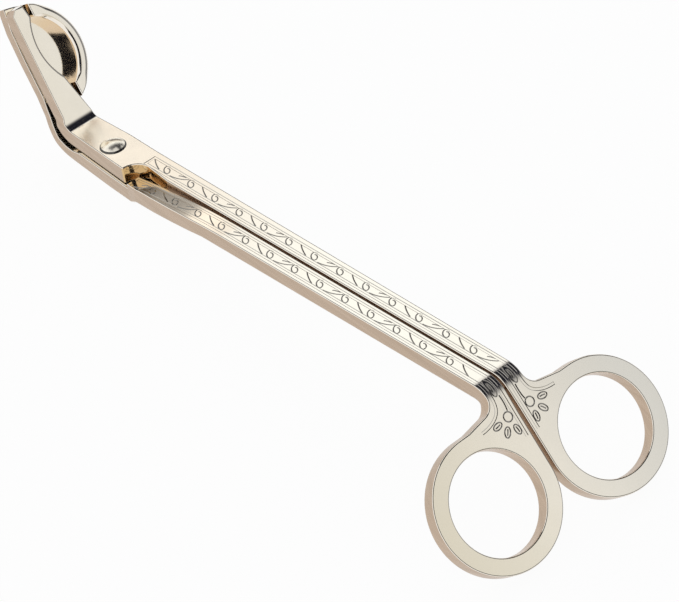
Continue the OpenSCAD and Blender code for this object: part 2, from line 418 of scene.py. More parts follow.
def turning(points):
    """Twice the area that points go round, positive when they go round to the left."""
    return sum(a[0] * b[1] - b[0] * a[1] for a, b in zip(points, points[1:] + points[:1]))


def spaced(points, least=0.02):
    """The points without neighbours that nearly coincide."""
    kept = []
    for p in points:
        if not kept or math.dist(p, kept[-1]) > least:
            kept.append(p)
    return kept[:-1] if math.dist(kept[0], kept[-1]) < least else kept


def slides(points):
    """For each corner, the move into the metal for each millimetre of rounding."""
    moves, sharpest = [], 0.3
    for i, p in enumerate(points):
        d0 = (Vector(p) - Vector(points[i - 1])).normalized()
        d1 = (Vector(points[(i + 1) % len(points)]) - Vector(p)).normalized()
        n0, n1 = Vector((-d0.y, d0.x)), Vector((-d1.y, d1.x))
        moves.append((n0 + n1) / max(sharpest, 1 + n0.dot(n1)))
    return moves


def skin(bm, rows):
    """Faces between each row of points and the next. A row can be a single point."""
    for upper, lower in zip(rows, rows[1:]):
        for i in range(max(len(upper), len(lower))):
            ring = ((upper, i), (lower, i), (lower, i + 1), (upper, i + 1))
            corners = [row[k % len(row)] for row, k in ring]
            bm.faces.new([v for k, v in enumerate(corners) if v not in corners[:k]])


def plate(name, outline, holes, thick, front, back):
    """A flat bar of the outline, face at 0, with edges rounded by radii that vary by place."""
    few, many = 3, 5  # rows of faces in a front and in a back edge
    layers = [(False, k / few) for k in range(few + 1)]
    layers += [(True, k / many) for k in range(many, -1, -1)]
    bm = bmesh.new()
    walls = []
    for points in (outline, *holes):
        points = spaced(points)
        if (turning(points) > 0) is bool(walls):  # the outline goes left, the holes right
            points = points[::-1]
        moves, rows = slides(points), []
        for behind, share in layers:
            a = math.radians(90 * share)
            row = []
            for (x, y), move in zip(points, moves):
                r = back(x, y) if behind else front(x, y)
                inset, depth = r * (1 - math.sin(a)), r * (1 - math.cos(a))
                z = depth - thick if behind else -depth
                row.append(bm.verts.new((x + move.x * inset, y + move.y * inset, z)))
            rows.append(row)
        skin(bm, rows)
        walls.append(rows)
    for end, up in ((0, True), (-1, False)):
        edge = [v for rows in walls for v in rows[end]]
        flat = [[Vector((v.co.x, v.co.y, 0)) for v in rows[end]] for rows in walls]
        for tri in tessellate_polygon(flat):
            corners = [edge[i] for i in tri]
            a, b, c = (v.co for v in corners)
            if ((b - a).cross(c - a).z > 0) is not up:
                corners.reverse()
            bm.faces.new(corners)
    if not all(e.is_contiguous for e in bm.edges):
        raise RuntimeError("the outline's edges cross once they are rounded")
    o = solid(name, bm)
    finished(o)
    return o


# ---- objects and their meshes


def placed(name, data):
    """A new object of the data, in the scene."""
    o = bpy.data.objects.new(name, data)
    bpy.context.scene.collection.objects.link(o)
    return o


def solid(name, bm):
    """A new object of the bmesh, which is used up."""
    mesh = bpy.data.meshes.new(name)
    bm.to_mesh(mesh)
    bm.free()
    return placed(name, mesh)


@contextlib.contextmanager
def edited(o):
    """The object's mesh as a bmesh, written back at the end."""
    bm = bmesh.new()
    bm.from_mesh(o.data)
    yield bm
    bm.to_mesh(o.data)
    bm.free()


def baked(o, modifier):
    """The object's mesh with the modifier applied and gone."""
    mesh = bpy.data.meshes.new_from_object(o.evaluated_get(bpy.context.evaluated_depsgraph_get()))
    o.modifiers.remove(modifier)
    return mesh


def swap_mesh(o, mesh):
    old, o.data = o.data, mesh
    bpy.data.meshes.remove(old)


# ---- node trees


class Nodes:
    """Writes a node tree, a node at a time, and links or sets what each is given."""

    def __init__(self, tree):
        self.tree = tree

    def give(self, node, **inputs):
        """Links or sets the node's inputs, by their names or by i and their numbers."""
        for key, value in inputs.items():
            if key[1:].isdigit():
                socket = node.inputs[int(key[1:])]
            else:
                name = key.replace("_", " ")
                socket = next(s for s in node.inputs if s.enabled and s.name == name)
            for item in value if isinstance(value, list) else [value]:
                if isinstance(item, bpy.types.NodeSocket):
                    self.tree.links.new(item, socket)
                else:
                    socket.default_value = item

    def add(self, kind, settings=None, **inputs):
        """A new node's first output."""
        node = self.tree.nodes.new(kind)
        for key, value in (settings or {}).items():
            setattr(node, key, value)
        self.give(node, **inputs)
        return next(s for s in node.outputs if s.enabled)

    def math(self, what, a, b=0.0):
        return self.add("ShaderNodeMath", {"operation": what}, i0=a, i1=b)

    def triple(self, x=0.0, y=0.0, z=0.0):
        return self.add("ShaderNodeCombineXYZ", i0=x, i1=y, i2=z)

    def mix(self, share, a, b, how="MIX"):
        settings = {"data_type": "RGBA", "blend_type": how}
        return self.add("ShaderNodeMix", settings, i0=share, i6=a, i7=b)


class Tree(Nodes):
    """A Geometry Nodes tree with named inputs."""

    def __init__(self, name, inputs):
        super().__init__(bpy.data.node_groups.new(name, "GeometryNodeTree"))
        socket = self.tree.interface.new_socket
        self.sockets = {}
        for label, kind in [("Geometry", "Geometry"), *inputs]:
            made = socket(label, in_out="INPUT", socket_type="NodeSocket" + kind)
            self.sockets[label] = made.identifier
        socket("Geometry", in_out="OUTPUT", socket_type="NodeSocketGeometry")
        self.start = self.tree.nodes.new("NodeGroupInput")

    def given(self, label):
        return self.start.outputs[label]

    def shape(self, kind, settings=None, **inputs):
        return self.add("GeometryNode" + kind, settings, **inputs)

    def join(self, *parts):
        return self.shape("JoinGeometry", Geometry=list(parts))

    def move(self, shape, **how):
        return self.shape("Transform", Geometry=shape, **how)

    def circle(self, points, radius=1.0):
        return self.shape("CurvePrimitiveCircle", Resolution=points, Radius=radius)

    def sweep(self, path, section):
        """The section carried along the path, its up side kept up and its ends closed."""
        path = self.shape("SetCurveNormal", {"mode": "Z_UP"}, Curve=path)
        return self.shape("CurveToMesh", Curve=path, Profile_Curve=section, Fill_Caps=True)

    def stroke(self, points, start, middle, end, most, least):
        """A bowed line, its width swelling from least at the ends to most in the middle."""
        ends = {"Start": start, "Middle": middle, "End": end}
        line = self.shape("CurveQuadraticBezier", Resolution=points, **ends)
        return self.swelling(line, most, least)

    def swelling(self, path, most, least):
        bow = self.math("MULTIPLY", self.shape("SplineParameter"), math.pi)
        bow = self.math("MULTIPLY", self.math("SINE", bow), most - least)
        return self.shape("SetCurveRadius", Curve=path, Radius=self.math("ADD", bow, least))

    def engraved(self, paths):
        """Cuts along the paths with a graver, a V as wide and deep at the face as is given."""
        wide = self.math("MULTIPLY", self.given("Width"), 0.866)
        deep = self.triple(wide, self.given("Depth"), 1.0)
        graver = self.move(self.circle(3), Rotation=(0, 0, math.pi / 2))
        return self.finish(self.sweep(paths, self.move(graver, Scale=deep)))

    def finish(self, geometry):
        """Ends the tree: real geometry in the given material."""
        made = self.add("GeometryNodeRealizeInstances", Geometry=geometry)
        metal = self.given("Material")
        made = self.add("GeometryNodeSetMaterial", Geometry=made, Material=metal)
        self.give(self.tree.nodes.new("NodeGroupOutput"), Geometry=made)
        return self


def floats(*labels):
    return [(label, "Float") for label in labels]


def channel_tree():
    """Sweeps a flat-bottomed channel along each curve of the object."""
    t = Tree("border_channel", floats("Width", "Depth", "Wall") + [("Material", "Material")])
    slope = t.math("MULTIPLY", t.given("Wall"), 2.0)
    sides = {
        "Height": t.math("MULTIPLY", t.given("Depth"), 2.0),
        "Bottom_Width": t.math("ADD", t.given("Width"), slope),
        "Top_Width": t.math("SUBTRACT", t.given("Width"), slope),
    }
    box = t.shape("CurvePrimitiveQuadrilateral", {"mode": "TRAPEZOID"}, Offset=0.0, **sides)
    return t.finish(t.sweep(t.given("Geometry"), box))


VINE_ROWS = ("Curl", "Leaf", "Stem")
GRAVER = floats("Width", "Depth") + [("Material", "Material")]


def vine_tree():
    """Three rows along the bar: curls, the deep leaves and the light stems between them."""
    rows = [(f"{row}_Count", "Int") for row in VINE_ROWS]
    rows += floats(*(f"{row}_Start" for row in VINE_ROWS))
    t = Tree("vine", rows + floats("Across", "Pitch", "Radius") + GRAVER)
    radius = t.given("Radius")
    turns = {"Resolution": 22, "Rotations": 1.15, "Height": 0.0, "Reverse": False}
    start = t.math("MULTIPLY", radius, 0.42)
    curl = t.shape("CurveSpiral", Start_Radius=start, End_Radius=radius, **turns)
    curl = t.swelling(t.move(curl, Rotation=(0, 0, 2.5), Scale=(1.55, 0.9, 1.0)), 0.95, 0.3)
    leaf = t.stroke(12, (2.7, 1.1, 0), (3.9, 0.0, 0), (6.5, -0.95, 0), 1.75, 0.08)
    stem = t.stroke(12, (1.9, -0.95, 0), (4.7, -0.75, 0), (6.6, 0.8, 0), 0.55, 0.06)
    tendril = t.stroke(12, (3.6, 0.3, 0), (4.4, 0.75, 0), (5.6, 0.95, 0), 0.75, 0.06)
    vine = []
    shapes = ((curl, 0.5), (leaf, 1.0), (t.join(stem, tendril), 1.0))
    for label, (shape, share) in zip(VINE_ROWS, shapes):
        start = t.triple(t.given(f"{label}_Start"), t.given("Across"))
        offset = t.triple(t.math("MULTIPLY", t.given("Pitch"), share))
        count = t.given(f"{label}_Count")
        row = t.shape("MeshLine", Count=count, Start_Location=start, Offset=offset)
        vine.append(t.shape("InstanceOnPoints", Points=row, Instance=shape))
    return t.engraved(t.shape("RealizeInstances", Geometry=t.join(*vine)))


def flower_tree():
    """A ring with three oval petals fanned out around it, a long leaf, and the eye before it."""
    leaf_ends = ("Start", "Middle", "End")
    leaf_inputs = [(f"Leaf_{end}", "Vector") for end in leaf_ends]
    places = [("Place", "Vector"), ("Facing", "Float"), ("Eye", "Vector")]
    t = Tree("flower", places + leaf_inputs + GRAVER)
    ring = t.circle(28, 1.05)
    petal = t.move(t.circle(24), Translation=(3.25, 0, 0), Scale=(1.15, 0.66, 1.0))
    seed = t.stroke(10, (2.55, 0, 0), (3.25, 0.12, 0), (3.95, 0, 0), 0.7, 0.06)
    fan = t.shape("MeshLine", Count=3, Start_Location=(0, 0, 0), Offset=(0, 0, 0))
    turn = t.math("SUBTRACT", t.shape("InputIndex"), 1.0)
    turn = t.triple(0.0, 0.0, t.math("MULTIPLY", turn, 0.78))
    fan = t.shape("InstanceOnPoints", Points=fan, Instance=t.join(petal, seed), Rotation=turn)
    fan = t.move(fan, Rotation=t.triple(0.0, 0.0, t.given("Facing")))
    bloom = t.join(ring, t.shape("RealizeInstances", Geometry=fan))
    bloom = t.move(bloom, Translation=t.given("Place"))
    lid = t.move(t.circle(36), Translation=t.given("Eye"), Scale=(2.3, 0.8, 1.0))
    pupil = t.move(t.circle(24), Translation=t.given("Eye"), Scale=(1.2, 0.22, 1.0))
    leaf = t.stroke(16, *(t.given(f"Leaf_{end}") for end in leaf_ends), 2.3, 0.1)
    return t.engraved(t.join(bloom, lid, pupil, leaf))


# ---- engraving, cutting and bending


def grown(name, tree, host=None, **values):
    """The plain mesh that a tree makes on its host, with the modifier and the host gone."""
    host = host or placed("blank", bpy.data.meshes.new("blank"))
    m = host.modifiers.new(name, "NODES")
    m.node_group = tree.tree
    for label, value in values.items():
        m[tree.sockets[label]] = value
    bpy.context.view_layer.update()
    mesh = baked(host, m)
    bpy.data.objects.remove(host)
    if not mesh.polygons:
        raise RuntimeError(f"{name} made nothing")
    return placed(name, mesh)


def round_ended(path, width):
    """A curve object along the path that narrows at its ends, as a round cutter leaves it."""
    data = bpy.data.curves.new("border_path", "CURVE")
    data.dimensions = "3D"
    total = [0.0]
    for a, b in zip(path, path[1:]):
        total.append(total[-1] + math.dist(a, b))
    caps = [width / 2 * k for k in (0.0, 0.06, 0.2, 0.45, 0.75, 1.0)]
    stops = sorted(set(total[1:-1] + caps + [total[-1] - c for c in caps]))
    spline = data.splines.new("POLY")
    spline.points.add(len(stops) - 1)
    narrowest = 0.12
    for p, d in zip(spline.points, stops):
        x, y = (between(d, list(zip(total, way))) for way in zip(*path))
        near = min(d, total[-1] - d) / (width / 2)
        p.co = (x, y, 0, 1)
        p.radius = max(narrowest, math.sqrt(max(0.0, 1 - (1 - min(1.0, near)) ** 2)))
    return placed("border_path", data)


def combine(o, others, how="DIFFERENCE"):
    """Cuts the others out of o, or joins them to it, one after another."""
    for other in others:
        m = o.modifiers.new(how, "BOOLEAN")
        m.operation, m.solver, m.object, m.material_mode = how, "MANIFOLD", other, "TRANSFER"
        mesh = baked(o, m)
        if len(mesh.polygons) in (0, len(o.data.polygons)):
            raise RuntimeError(f"{other.name} did not combine with {o.name}")
        swap_mesh(o, mesh)
        bpy.data.objects.remove(other)


def steps(a, b, n):
    """Both ends of a stretch and n even places between them."""
    return [a + (b - a) * (i + 0.5) / n for i in range(n)] + [a, b]


def cut_across(o, places):
    """Adds edges across the flat bar at the given places, so that it can fold there."""
    with edited(o) as bm:
        for s in places:
            every = bm.verts[:] + bm.edges[:] + bm.faces[:]
            across = {"plane_co": (s, 0, 0), "plane_no": (1, 0, 0)}
            bmesh.ops.bisect_plane(bm, geom=every, dist=1e-5, **across)
        bmesh.ops.triangulate(bm, faces=bm.faces[:])


def folded(o, fold):
    """Bends the flat bar by moving each of its points as fold says."""
    for v in o.data.vertices:
        v.co = fold(v.co)
    o.data.update()


def flip_if_inside_out(o):
    with edited(o) as bm:
        if bm.calc_volume(signed=True) < 0:
            bmesh.ops.reverse_faces(bm, faces=bm.faces[:])


def finished(o):
    """Gives the flat bar its finishes: plated faces, satin sides darkened with painted shade,
    bright rounded edges and a dark line of painted shade where those start in front."""
    o.data.materials.clear()
    for name in FINISHES:
        o.data.materials.append(bpy.data.materials[name])
    flat, nearly_flat, upright = 0.9999, 0.9, 0.4
    for p in o.data.polygons:
        up = p.normal.z
        if abs(up) > flat:
            p.material_index = PLATED
        elif up > nearly_flat:
            p.material_index = SHADED_LINE
        else:
            p.material_index = SHADED_SATIN if abs(up) < upright else BRIGHT


def polished(o, angle=32):
    """Smooth shading that keeps flats flat and edges crisp, applied to the mesh."""
    with edited(o) as bm:
        bmesh.ops.remove_doubles(bm, verts=bm.verts[:], dist=1e-7)
        bmesh.ops.dissolve_degenerate(bm, edges=bm.edges[:], dist=1e-7)
    finishes = {}
    for p in o.data.polygons:
        p.use_smooth = True
        for key in p.edge_keys:
            finishes.setdefault(key, set()).add(p.material_index)
    o.data.set_sharp_from_angle(angle=math.radians(angle))
    for e in o.data.edges:
        if len(finishes[e.key]) > 1 and finishes[e.key] != {SHADED_SATIN, BRIGHT}:
            e.use_edge_sharp = True
    m = o.modifiers.new("flats", "WEIGHTED_NORMAL")
    m.keep_sharp, m.weight = True, 80
    swap_mesh(o, baked(o, m))
    o.data.name = o.name


def softened(path):
    """The path with its corners cut off again and again, so that it bends smoothly."""
    for _ in range(3):
        cut = [path[0]]
        for (x0, y0), (x1, y1) in zip(path, path[1:]):
            cut += [(x0 * (1 - k) + x1 * k, y0 * (1 - k) + y1 * k) for k in (0.25, 0.75)]
        path = cut + [path[-1]]
    return path


def border_paths(side):
    """Centre lines of the three border channels of one lever: along its outer and inner edges and
    across its start. The side is 1 for the blade lever and -1 for the other."""
    e, b = engraving(), bar()
    u0 = loop_start() - FLOWER_LEAD
    first = CUT_FROM if side > 0 else b.step + 1.4
    flare = ((2.8, 4.05), (4.2, 4.3), (5.2, 4.7), (6.1, 5.6), (6.8, 7.0), (7.2, 8.6), (7.3, 10.2))
    outer = [(first, e.outer_y), (b.shank, e.outer_y - 0.15)] + [(u0 + u, y) for u, y in flare]
    inner = [(first, e.inner_y), (b.shank, e.inner_y), (u0 + 13, e.inner_y + 0.15)]
    head = [(first, e.inner_y - 0.35), (first, e.outer_y + 0.35)]
    return [[(x, y * side) for x, y in path] for path in (softened(outer), inner, head)]


def engrave(o, side, pitch, *vine):
    """Cuts the borders, the vine and the flower of one lever. The vine is given by its pitch and,
    for each of its rows, how many there are and where the first one is."""
    e = engraving()
    painted_recess_shade, edge = bpy.data.materials["engraved_lines"], bpy.data.materials["border_lines"]
    channel = {"Width": e.border, "Depth": e.border_depth, "Wall": e.border_wall, "Material": edge}
    cuts = []
    for path in border_paths(side):
        cuts.append(grown("border", channel_tree(), round_ended(path, e.border), **channel))
    line = {"Width": e.line, "Depth": e.line_depth, "Material": painted_recess_shade}
    rows = {"Across": side * (e.inner_y + e.outer_y) / 2, "Pitch": pitch, "Radius": e.curl}
    for row, (count, start) in zip(VINE_ROWS, vine):
        rows |= {f"{row}_Count": count, f"{row}_Start": start}
    cuts.append(grown("vine", vine_tree(), **rows, **line))
    marks = {"Place": (7.5, 3.1), "Eye": (0.4, 2.9)}
    marks |= {"Leaf_Start": (2.8, 2.3), "Leaf_Middle": (4.8, 2.1), "Leaf_End": (6.4, 2.5)}
    u0 = loop_start() - FLOWER_LEAD
    flower = {label: (u0 + u, side * y, 0.0) for label, (u, y) in marks.items()}
    cuts.append(grown("flower", flower_tree(), Facing=side * 0.65, **flower, **line))
    combine(o, cuts)
    # The walls of the cuts keep their dark painted shade; the floors that face out take the
    # plating.
    floors = [o.data.materials.find(m.name) for m in (painted_recess_shade, edge)]
    for p in o.data.polygons:
        facing = p.normal.z > 0.97
        if p.material_index in floors and facing:
            p.material_index = PLATED


# ---- materials


class Finish(Nodes):
    """Writes a metal's nodes on its Principled shader."""

    def __init__(self, name):
        self.material = bpy.data.materials.new(name)
        self.material.use_nodes = True
        super().__init__(self.material.node_tree)
        self.shader = self.tree.nodes["Principled BSDF"]

    def place(self):
        """The place of a point in the object's own frame."""
        return self.tree.nodes.new("ShaderNodeTexCoord").outputs["Object"]

    def noise(self, scale, detail=3.0, stretch=(1, 1, 1)):
        place = self.add("ShaderNodeMapping", Vector=self.place(), Scale=stretch)
        return self.add("ShaderNodeTexNoise", Vector=place, Scale=scale, Detail=detail)

    def spread(self, value, low, high):
        """The middle of a noise's range spread from low to high."""
        ends = {"From_Min": 0.3, "From_Max": 0.7, "To_Min": low, "To_Max": high}
        return self.add("ShaderNodeMapRange", Value=value, **ends)


def plated_metal(name, colour, smooth, rough, streak=0.0):
    """Polished plating: faint cloudiness in colour and gloss, hairline wipe marks and a very fine
    orange peel. With a streak, the colour has fine lines along the bar instead of clouds."""
    f = Finish(name)
    dim = [c * k * (1 - streak) for c, k in zip(colour, (0.97, 0.955, 0.93))]
    marks = f.spread(f.noise(25.0, 5.0, (0.4, 1, 34)), 0.0, 1.0) if streak else f.noise(60.0)
    clouds = f.spread(f.noise(220.0, 4.0), smooth, rough)
    wiped = f.spread(f.noise(900.0, 2.0, stretch=(1, 14, 1)), 0.0, 0.03)
    peel = f.add("ShaderNodeBump", Strength=0.006, Distance=0.0002, Height=f.noise(500.0, 2.0))
    base = f.mix(marks, (*colour, 1), (*dim, 1))
    rough = f.math("ADD", clouds, wiped)
    f.give(f.shader, Metallic=1.0, Base_Color=base, Roughness=rough, Normal=peel)
    return f.material


def add_finish(o, name, colour, smooth, rough):
    """Gives the object one more finish and tells its place in the list."""
    o.data.materials.append(plated_metal(name, colour, smooth, rough))
    return len(o.data.materials) - 1


# ---- the pieces


def even(radius):
    """Rounding by the same radius everywhere."""
    return lambda x, y: radius


def along(points):
    """Rounding by a radius that changes along the bar."""
    return lambda x, y: between(x, points)


def on_cutting_edge(x, y):
    """Whether a place is at the blade's curved edge, well clear of its fold."""
    clear, straight_side = 8, 0.6
    return x < head_start() - clear and y > straight_side


def ground(p):
    """Finishes a face of the blade's cutting edge: a bevel darkened with painted shade and a bright
    wall.
    """
    upper = p.normal.z > 0.4
    if p.material_index == BRIGHT and upper:
        p.material_index = SHADED_LINE
    elif p.material_index == SHADED_SATIN:
        p.material_index = BRIGHT


class TRIMMER_OT_blade_lever(bpy.types.Operator):
    """The engraved lever with the blade, folded up from one bar"""

    bl_idname = "trimmer.blade_lever"
    bl_label = "Blade lever"

    def execute(self, context):
        b, look = bar(), looks()
        front = [(-40, 0.15), (-12, 0.25), (5, b.front_ease)]
        back = [(-40, 0.55), (-16, 0.6), (-8, 0.8), (4, 0.8), (7, 0.3), (9, 0.3)]
        plated_metal("pale_gold_plating", look.plate, smooth=0.07, rough=0.1)
        # The darkened sides and the dark colour of the border lines are painted shade.
        side, edge = [c * 1.06 for c in look.side], [c * 1.6 for c in look.painted_recess_shade]
        plated_metal("satin_gold_sides", side, smooth=0.2, rough=0.3, streak=0.14)
        plated_metal("bright_edges", look.plate, smooth=0.05, rough=0.08)
        plated_metal("engraved_lines", look.painted_recess_shade, smooth=0.12, rough=0.2)
        plated_metal("border_lines", edge, smooth=0.12, rough=0.2)
        hole = arc(*ring_centre(), loops().inner, 360, 0, step=2.5)
        bore = arc(0, b.rivet_y, 1.95, 360, 0, step=8)
        lever = plate(
            "blade_lever_engraved",
            blade_outline(),
            [hole, bore],
            b.thick,
            lambda x, y: 0.5 if on_cutting_edge(x, y) else between(x, front),
            along(back + [(12, b.back_round)]),
        )
        # The scoop's walls are a darker, warmer copy of the plating: painted shade on a real
        # polish.
        add_finish(lever, "polished_scoop", (0.7, 0.5, 0.27), smooth=0.05, rough=0.1)
        scoop_start, scoop_end, scoop_top = 7, 18, 1.3
        for p in lever.data.polygons:
            x, y, _ = p.center
            in_scoop = scoop_start < x < scoop_end and y < scoop_top
            if p.material_index == SHADED_SATIN and in_scoop:
                p.material_index = POLISHED_SHADED
            if on_cutting_edge(x, y):
                ground(p)
        engrave(lever, 1, 16.67, (13, 17.3), (7, 8.93), (7, 17.3))
        head = [-s for s in bend_places(b.head, b.head_fold, b.head_bend, 18)]
        places = head + [CUT_FROM] + bend_places(b.shank, b.loop_fold, b.loop_bend, 24)
        cut_across(lever, places)
        # The head's face is a lighter, warmer copy of the plating: painted light on a real satin
        # gloss.
        satin = add_finish(lever, "satin_head", (0.97, 0.9, 0.81), smooth=0.22, rough=0.26)
        for p in lever.data.polygons:
            in_front = p.material_index == PLATED and p.normal.z > 0.99
            if in_front and -b.head < p.center.x < CUT_FROM:
                p.material_index = satin
        folded(lever, blade_fold)
        polished(lever)
        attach(lever, "blade_side")
        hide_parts("blade_lever")
        return {"FINISHED"}


class TRIMMER_OT_tray_lever(bpy.types.Operator):
    """The engraved lever with the tray, stepped down to pass under the blade lever"""

    bl_idname = "trimmer.tray_lever"
    bl_label = "Tray lever"

    def execute(self, context):
        b, t, neck_end = bar(), tray(), tray_neck_end()
        x, y = ring_centre()
        hole = arc(x, -y, loops().inner, 360, 0, step=2.5)
        rounding = even(b.front_ease), even(b.back_round)
        lever = plate("tray_lever_engraved", shank_outline(), [hole], b.thick, *rounding)
        engrave(lever, -1, 16.28, (13, 18.4), (7, 18.4), (7, 10.26))
        places = steps(b.step, LEVEL_FROM, 36)
        cut_across(lever, places + bend_places(b.shank, b.loop_fold, b.loop_bend, 24))
        folded(lever, shank_fold)

        back = [(neck_end - 24, 0.5), (neck_end, 0.9), (0, b.back_round)]
        bore = arc(0, b.rivet_y, 1.9, 360, 0, step=8)
        neck = plate("tray_neck", neck_outline(), [bore], b.thick, even(0.25), along(back))
        places = [-s for s in bend_places(t.fold_x, t.fold, b.head_bend + t.kick, 22)]
        places += steps(neck_end - 1.6, neck_end + 6, 16) + steps(-13, -9, 8)
        cut_across(neck, places)
        folded(neck, neck_fold)

        soft = [(30, 0.3), (42, 1.0), (128, 1.0), (140, 0.3)]

        def brim(x, y):
            return between(math.degrees(math.atan2(y + t.offset, x - t.centre)), soft)

        rim = plate("tray_rim", rim_outline(), [], b.lap + 1, brim, even(0.05))
        # The tray's inner wall is a darker, warmer copy of the plating: painted shade on a real
        # polish.
        add_finish(rim, "tray_wall", (0.8, 0.64, 0.46), smooth=0.05, rough=0.09)
        outer_wall, middle = t.outer - 0.2, (t.inner + t.outer) / 2
        for p in rim.data.polygons:
            reach = math.dist(p.center[:2], (t.centre, -t.offset))
            if p.material_index == SHADED_SATIN and reach < outer_wall:
                p.material_index = POLISHED_SHADED
            elif p.material_index == SHADED_LINE and reach < middle:
                p.material_index = BRIGHT
        folded(rim, rim_fold)
        flip_if_inside_out(rim)
        combine(lever, [neck, rim], "UNION")
        polished(lever)
        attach(lever, "tray_side")
        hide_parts("tray_lever")
        return {"FINISHED"}


class TRIMMER_OT_rivet(bpy.types.Operator):
    """The domed rivet that both levers turn on"""

    bl_idname = "trimmer.rivet"
    bl_label = "Rivet"

    def execute(self, context):
        b, turns = bar(), 72
        dome = [(0.0, 1.1), (0.8, 1.04), (1.6, 0.86), (2.3, 0.58), (2.75, 0.34)]
        brim = [(3.0, 0.17), (3.1, 0.05), (3.04, -0.02)]
        shank = [(1.88, -0.02), (1.88, -b.lap - b.thick)]
        tail = [(2.6, -8.7), (2.7, -8.78), (2.7, -9.15), (2.55, -9.3), (0.0, -9.3)]
        angles = [2 * math.pi * i / turns for i in range(turns)]
        bm = bmesh.new()
        rows = []
        for r, z in dome + brim + shank + tail:
            points = [(r * math.cos(a), r * math.sin(a), z) for a in angles] if r else [(0, 0, z)]
            rows.append([bm.verts.new(p) for p in points])
        skin(bm, rows)
        for v in bm.verts:
            v.co = standing(v.co.x, v.co.y + b.rivet_y, v.co.z)
        rivet = solid("rivet_domed", bm)
        add_finish(rivet, "rivet_plating", looks().steel, smooth=0.2, rough=0.26)
        # The rivet's brim is dark: painted shade round the foot of the dome.
        shade = [c * 0.4 for c in looks().painted_recess_shade]
        dark = add_finish(rivet, "rivet_edge", shade, smooth=0.2, rough=0.3)
        below_dome = turns * (len(dome) - 1)
        for p in rivet.data.polygons[below_dome : below_dome + turns * len(brim)]:
            p.material_index = dark
        polished(rivet, angle=50)
        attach(rivet, "tray_side")
        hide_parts("pivot_rivet")
        return {"FINISHED"}


# ---- the stage


def seen_by(n):
    """1 for rays from the camera, from metal or through glass, and 0 for light on the object."""
    rays = n.tree.nodes.new("ShaderNodeLightPath").outputs
    seen = n.math("MAXIMUM", rays["Is Camera Ray"], rays["Is Glossy Ray"])
    return n.math("MAXIMUM", seen, rays["Is Transmission Ray"])


def surround(scene):
    """Lights the object evenly, and is white where it is seen itself."""
    world = scene.world = bpy.data.worlds.new("surround")
    world.use_nodes = True
    world.node_tree.nodes.clear()
    n = Nodes(world.node_tree)
    light = n.add("ShaderNodeBackground", Color=(0.96, 0.98, 1.0, 1), Strength=0.65)
    white = n.add("ShaderNodeBackground", Color=(1, 1, 1, 1))
    both = n.add("ShaderNodeMixShader", i0=seen_by(n), i1=light, i2=white)
    n.give(n.tree.nodes.new("ShaderNodeOutputWorld"), Surface=both)


def pale_floor():
    """A wide floor with the object's shadow, nearly white where it is seen."""
    mesh = bpy.data.meshes.new("floor")
    span, own_glow, just_under = 3.0, 0.94, -0.0002
    corners = [(-span, -span, 0), (span, -span, 0), (span, span, 0), (-span, span, 0)]
    mesh.from_pydata(corners, [], [(0, 1, 2, 3)])
    f = Finish("floor_paper")
    f.give(f.shader, Base_Color=(*looks().floor, 1), Roughness=0.95)
    share = f.math("MULTIPLY", seen_by(f), own_glow)
    glow = f.add("ShaderNodeEmission")
    both = f.add("ShaderNodeMixShader", i0=share, i1=f.shader.outputs[0], i2=glow)
    f.give(f.tree.nodes["Material Output"], Surface=both)
    mesh.materials.append(f.material)
    floor = placed("floor", mesh)
    floor.location.z = just_under


def ramp_of(n, value, stops, top=1.0):
    """A colour ramp over value, which runs from the first to the last stop."""
    first, last = stops[0][0], stops[-1][0]
    share = n.add("ShaderNodeMapRange", Value=value, From_Min=first, From_Max=last)
    ramp = n.add("ShaderNodeValToRGB", i0=share)
    marks = ramp.node.color_ramp.elements
    while len(marks) < len(stops):
        marks.new(0.5)
    for mark, (place, shade) in zip(marks, stops):
        mark.position = (place - first) / (last - first)
        mark.color = (*[c / top for c in shade], 1)
    return ramp


def arch_card(name, around, across, later=None):
    """A card bent to an arch over the tool. Its glow is the product of the colours around the
    arch, by angle in degrees, and across it, by distance; later is its colour after a second
    reflection."""
    start, end, near, far = around[0][0], around[-1][0], across[0][0], across[-1][0]
    facet = 4
    n = max(2, math.ceil((end - start) / facet))
    turns = [math.radians(start + (end - start) * i / n) for i in range(n + 1)]
    corners = [(ARCH * math.cos(a), y, ARCH * math.sin(a)) for a in turns for y in (near, far)]
    faces = [(i, i + 1, i + 3, i + 2) for i in range(0, 2 * n, 2)]
    mesh = bpy.data.meshes.new(name)
    mesh.from_pydata(corners, [], faces)
    f = Finish(name)
    split = f.add("ShaderNodeSeparateXYZ", i0=f.place()).node.outputs
    turn = f.math("ARCTAN2", split["Z"], split["X"])
    glow = ramp_of(f, turn, [(math.radians(a), shade) for a, shade in around], GLOW)
    glow = f.mix(1.0, glow, ramp_of(f, split["Y"], across), "MULTIPLY")
    if later:
        depth = f.tree.nodes.new("ShaderNodeLightPath").outputs["Ray Depth"]
        second = f.math("GREATER_THAN", depth, 1.5)
        glow = f.mix(second, glow, (*[c / GLOW for c in later], 1))
    f.give(f.shader, Base_Color=(0, 0, 0, 1), Specular_IOR_Level=0.0)
    f.give(f.shader, Emission_Strength=GLOW, Emission_Color=glow)
    mesh.materials.append(f.material)
    o = placed(name, mesh)
    o.visible_camera = o.visible_shadow = o.visible_diffuse = False


